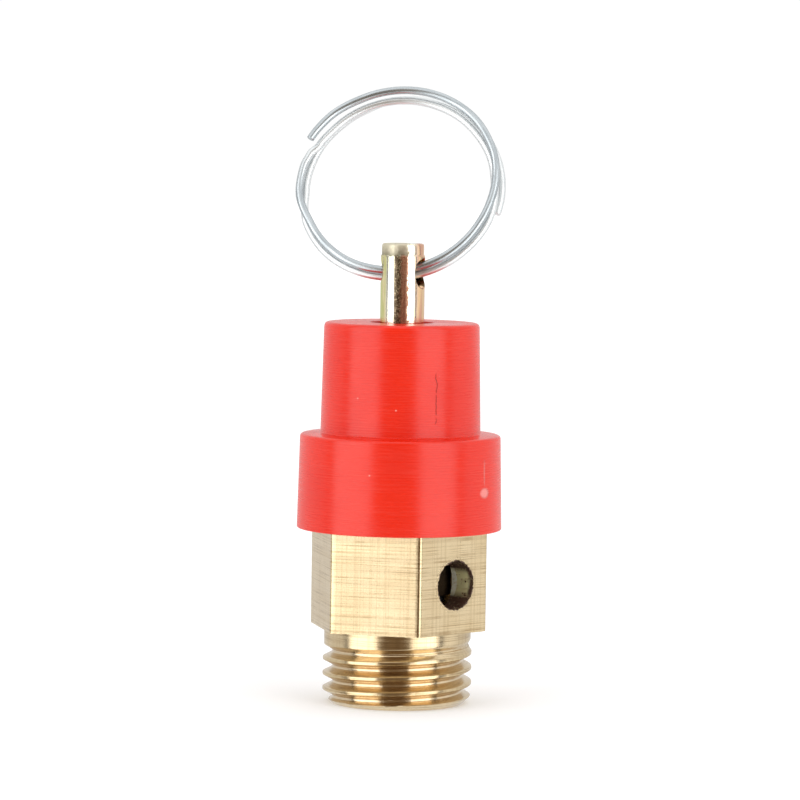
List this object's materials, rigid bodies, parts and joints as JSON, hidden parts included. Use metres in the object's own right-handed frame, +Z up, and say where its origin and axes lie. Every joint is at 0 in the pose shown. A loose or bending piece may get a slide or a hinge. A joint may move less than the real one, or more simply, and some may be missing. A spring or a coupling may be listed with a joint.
{
  "type": "pressure relief valve",
  "caption": "Spring-loaded pressure relief valve with a brass hexagon body, male G1/4 thread, side discharge holes, red two-step cap and a pull ring on its stem.",
  "frame": {"origin": "centre of the threaded end's face, on the valve's axis", "axes": "+Z up the stem towards the pull ring, -Y the front, +X to the right seen from the front"},
  "size_m": [0.0185, 0.018, 0.0546],
  "materials": {
    "brass": "machined, pale, fine turning lines",
    "inner_brass": "turned",
    "red_plastic": "semi-gloss with fine horizontal turning lines",
    "yellow_zinc": "yellow iridescent zinc plating",
    "spring_steel": "plain steel",
    "bright_steel": "bright nickel-plated wire",
    "black_rubber": "matte nitrile rubber"
  },
  "bodies": {
    "housing": {"valve_body": "brass", "red_cap": "red_plastic", "adjusting_screw": "inner_brass", "lock_nut": "inner_brass", "upper_spring_seat": "spring_steel", "pressure_spring": "spring_steel"},
    "disc": {"disc_holder": "inner_brass", "seal_disc": "black_rubber"},
    "pull_stem": {"stem": "yellow_zinc", "stem_clip": "spring_steel"},
    "ring": {"pull_ring": "bright_steel"}
  },
  "joints": [
    {"name": "disc_lift", "type": "slide", "parent": "housing", "child": "disc", "axis": [0, 0, 1], "range_m": [0, 0.0025], "stiffness_N_per_m": 2000, "springref_m": -0.008, "deforming": ["pressure_spring"]},
    {"name": "stem_spin", "type": "hinge", "parent": "disc", "child": "pull_stem", "pos_m": [0, 0, 0.038], "axis": [0, 0, 1], "continuous": true},
    {"name": "ring_swing", "type": "hinge", "parent": "pull_stem", "child": "ring", "pos_m": [0, 0, 0.038], "axis": [0.9863, -0.165, 0], "range_deg": [-118, 168]}
  ]
}
